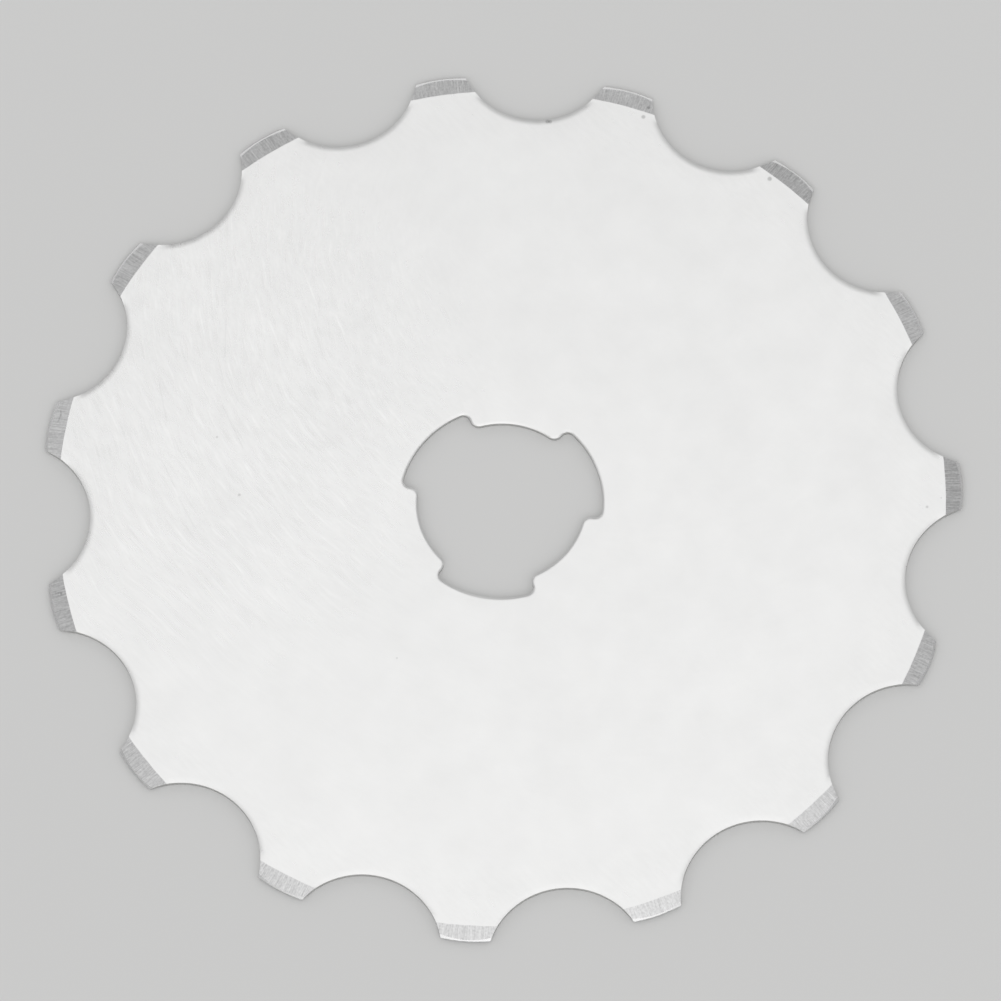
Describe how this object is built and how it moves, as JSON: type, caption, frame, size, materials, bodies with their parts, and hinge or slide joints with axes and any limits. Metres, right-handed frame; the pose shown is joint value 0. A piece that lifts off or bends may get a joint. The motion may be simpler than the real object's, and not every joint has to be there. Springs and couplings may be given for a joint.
{
  "type": "rotary cutter blade",
  "caption": "Thin round blade with short ground teeth between round gullets and a lobed centre hole; it rolls on a cutter's hub and cuts a line of slits.",
  "frame": {"origin": "centre of the centre hole, on the lower face that the blade rests on", "axes": "+Z along the blade's axis, up out of the face with the rolled rims; +X through the middle of one tooth"},
  "size_m": [0.0447, 0.0448, 0.0003],
  "materials": {
    "blade_steel": "satin rolled strip steel with fine scratches; teeth ground bright across the edge"
  },
  "bodies": {
    "root": {"blade": "blade_steel"}
  },
  "joints": []
}
